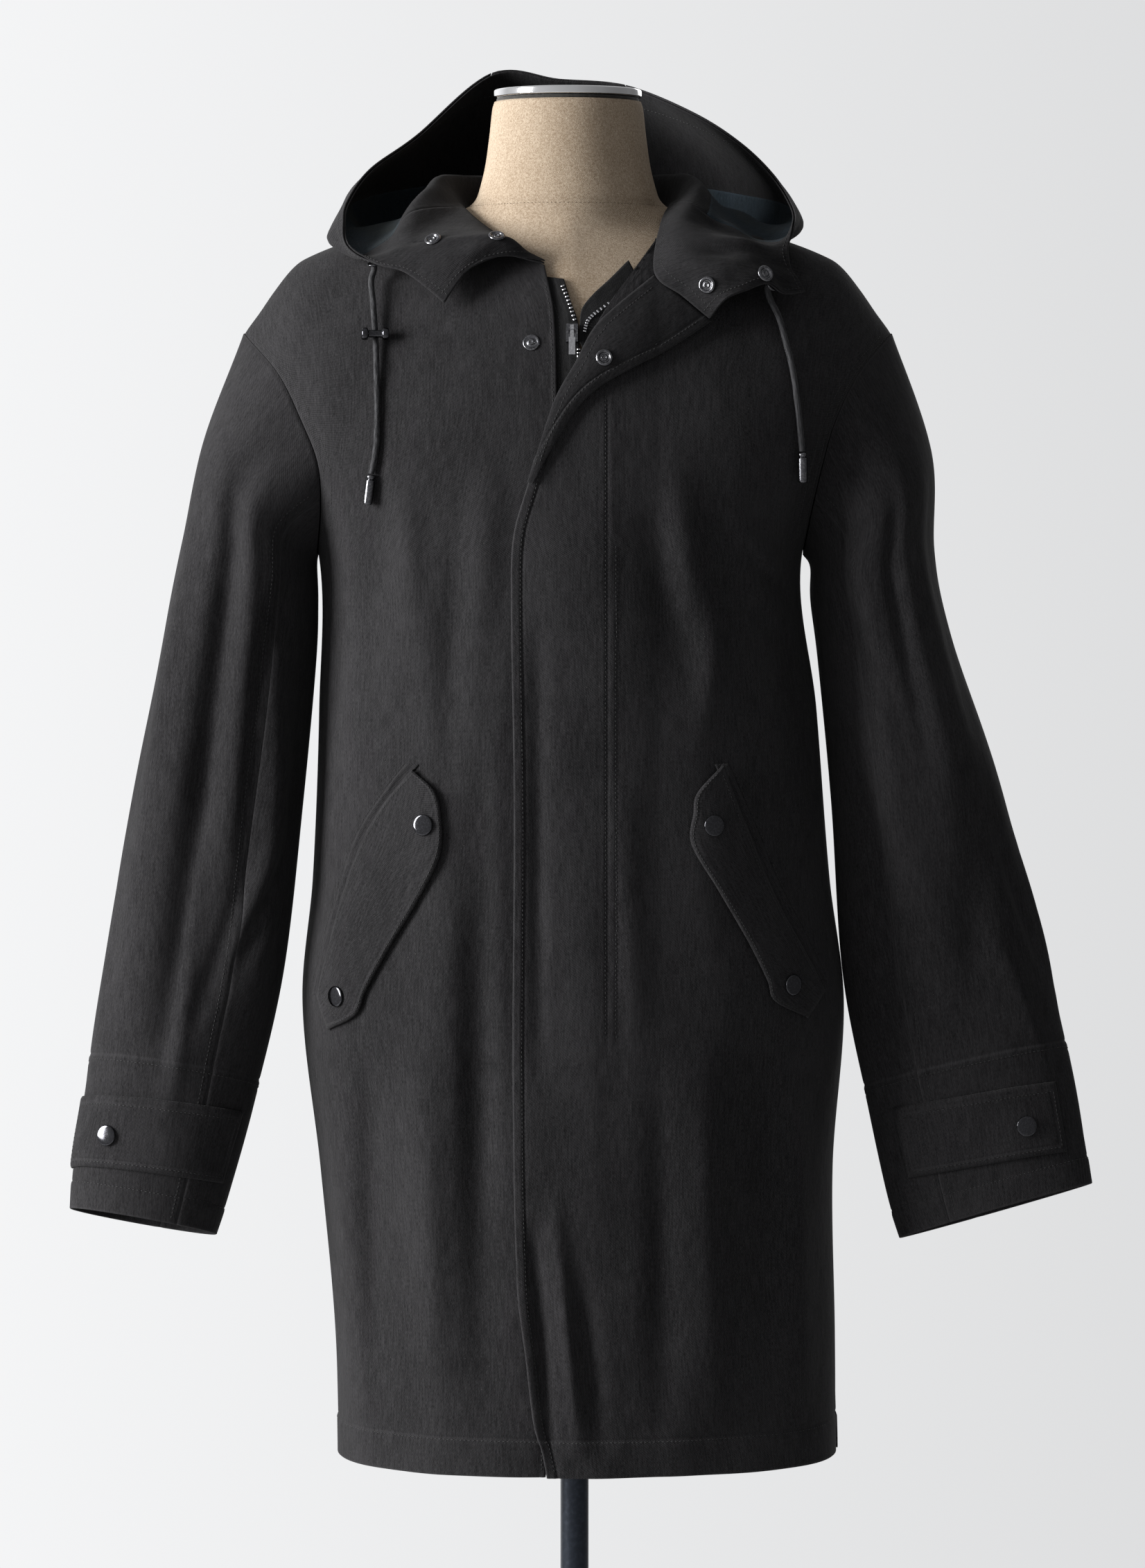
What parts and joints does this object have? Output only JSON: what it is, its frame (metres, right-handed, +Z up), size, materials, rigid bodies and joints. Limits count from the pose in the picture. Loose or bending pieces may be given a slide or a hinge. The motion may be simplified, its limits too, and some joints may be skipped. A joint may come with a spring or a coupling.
{
  "type": "parka on a dress form",
  "caption": "Long black hooded parka with an open neck, folded-back placket and slanted snap pockets, on a linen dress form with a round base.",
  "frame": {"origin": "Centre of the round base's underside, on the axis of the pole, on the floor.", "axes": "+Z up along the pole; the coat's front faces -Y; the wearer's left is +X."},
  "size_m": [0.7537, 0.3978, 1.5924],
  "materials": {
    "twill": "matt brushed cotton twill, charcoal black",
    "facing": "matt brushed cotton twill, charcoal black",
    "lining": "matt plain weave, dark denim blue",
    "zip_tape": "matt woven tape, black",
    "black_metal": "satin black oxide",
    "cord": "round braid, black",
    "linen": "plain linen, natural beige",
    "felt": "matt felt, dark grey",
    "chrome": "polished",
    "dark_steel": "satin blue-black enamel"
  },
  "bodies": {
    "coat_and_form": {"front_right": "twill", "front_left": "twill", "back": "twill", "sleeve_right_upper": "twill", "sleeve_right_under": "twill", "pocket_welt_right": "twill", "pocket_flap_right": "twill", "cuff_tab_right": "twill", "cuff_tab_right_snap": "black_metal", "sleeve_left_upper": "twill", "sleeve_left_under": "twill", "pocket_welt_left": "twill", "pocket_flap_left": "twill", "cuff_tab_left": "twill", "cuff_tab_left_snap": "black_metal", "flap_right_snap_upper": "black_metal", "flap_right_snap_lower": "black_metal", "flap_left_snap_upper": "black_metal", "flap_left_snap_lower": "black_metal", "hood_side_right": "twill", "hood_crown": "twill", "hood_side_left": "twill", "hood_facing_right": "facing", "hood_facing_left": "facing", "hood_stand_facing": "facing", "hood_lining": "lining", "hood_band_facing": "facing", "front_left_facing": "facing", "zip_tape_right": "zip_tape", "zip_tape_left": "zip_tape", "zip_slider": "black_metal", "chin_left_socket_upper": "black_metal", "chin_left_socket_lower": "black_metal", "chin_right_socket_upper": "black_metal", "chin_right_socket_lower": "black_metal", "eyelet_right": "black_metal", "eyelet_left": "black_metal", "turned_front_socket": "black_metal", "front_right_stud": "black_metal", "drawcord_right": "cord", "drawcord_left": "cord", "cord_tip_right": "black_metal", "cord_tip_left": "black_metal", "cord_lock": "black_metal", "form_torso": "linen", "form_felt": "felt", "form_cap": "chrome", "form_pole": "dark_steel", "form_base": "dark_steel"},
    "pull_tab": {"zip_pull_tab": "black_metal"}
  },
  "joints": [
    {"name": "pull_tab_hinge", "type": "hinge", "parent": "coat_and_form", "child": "pull_tab", "pos_m": [-0.0019, -0.11341, 1.39262], "axis": [-1, 0, 0], "range_deg": [0, 150]}
  ]
}
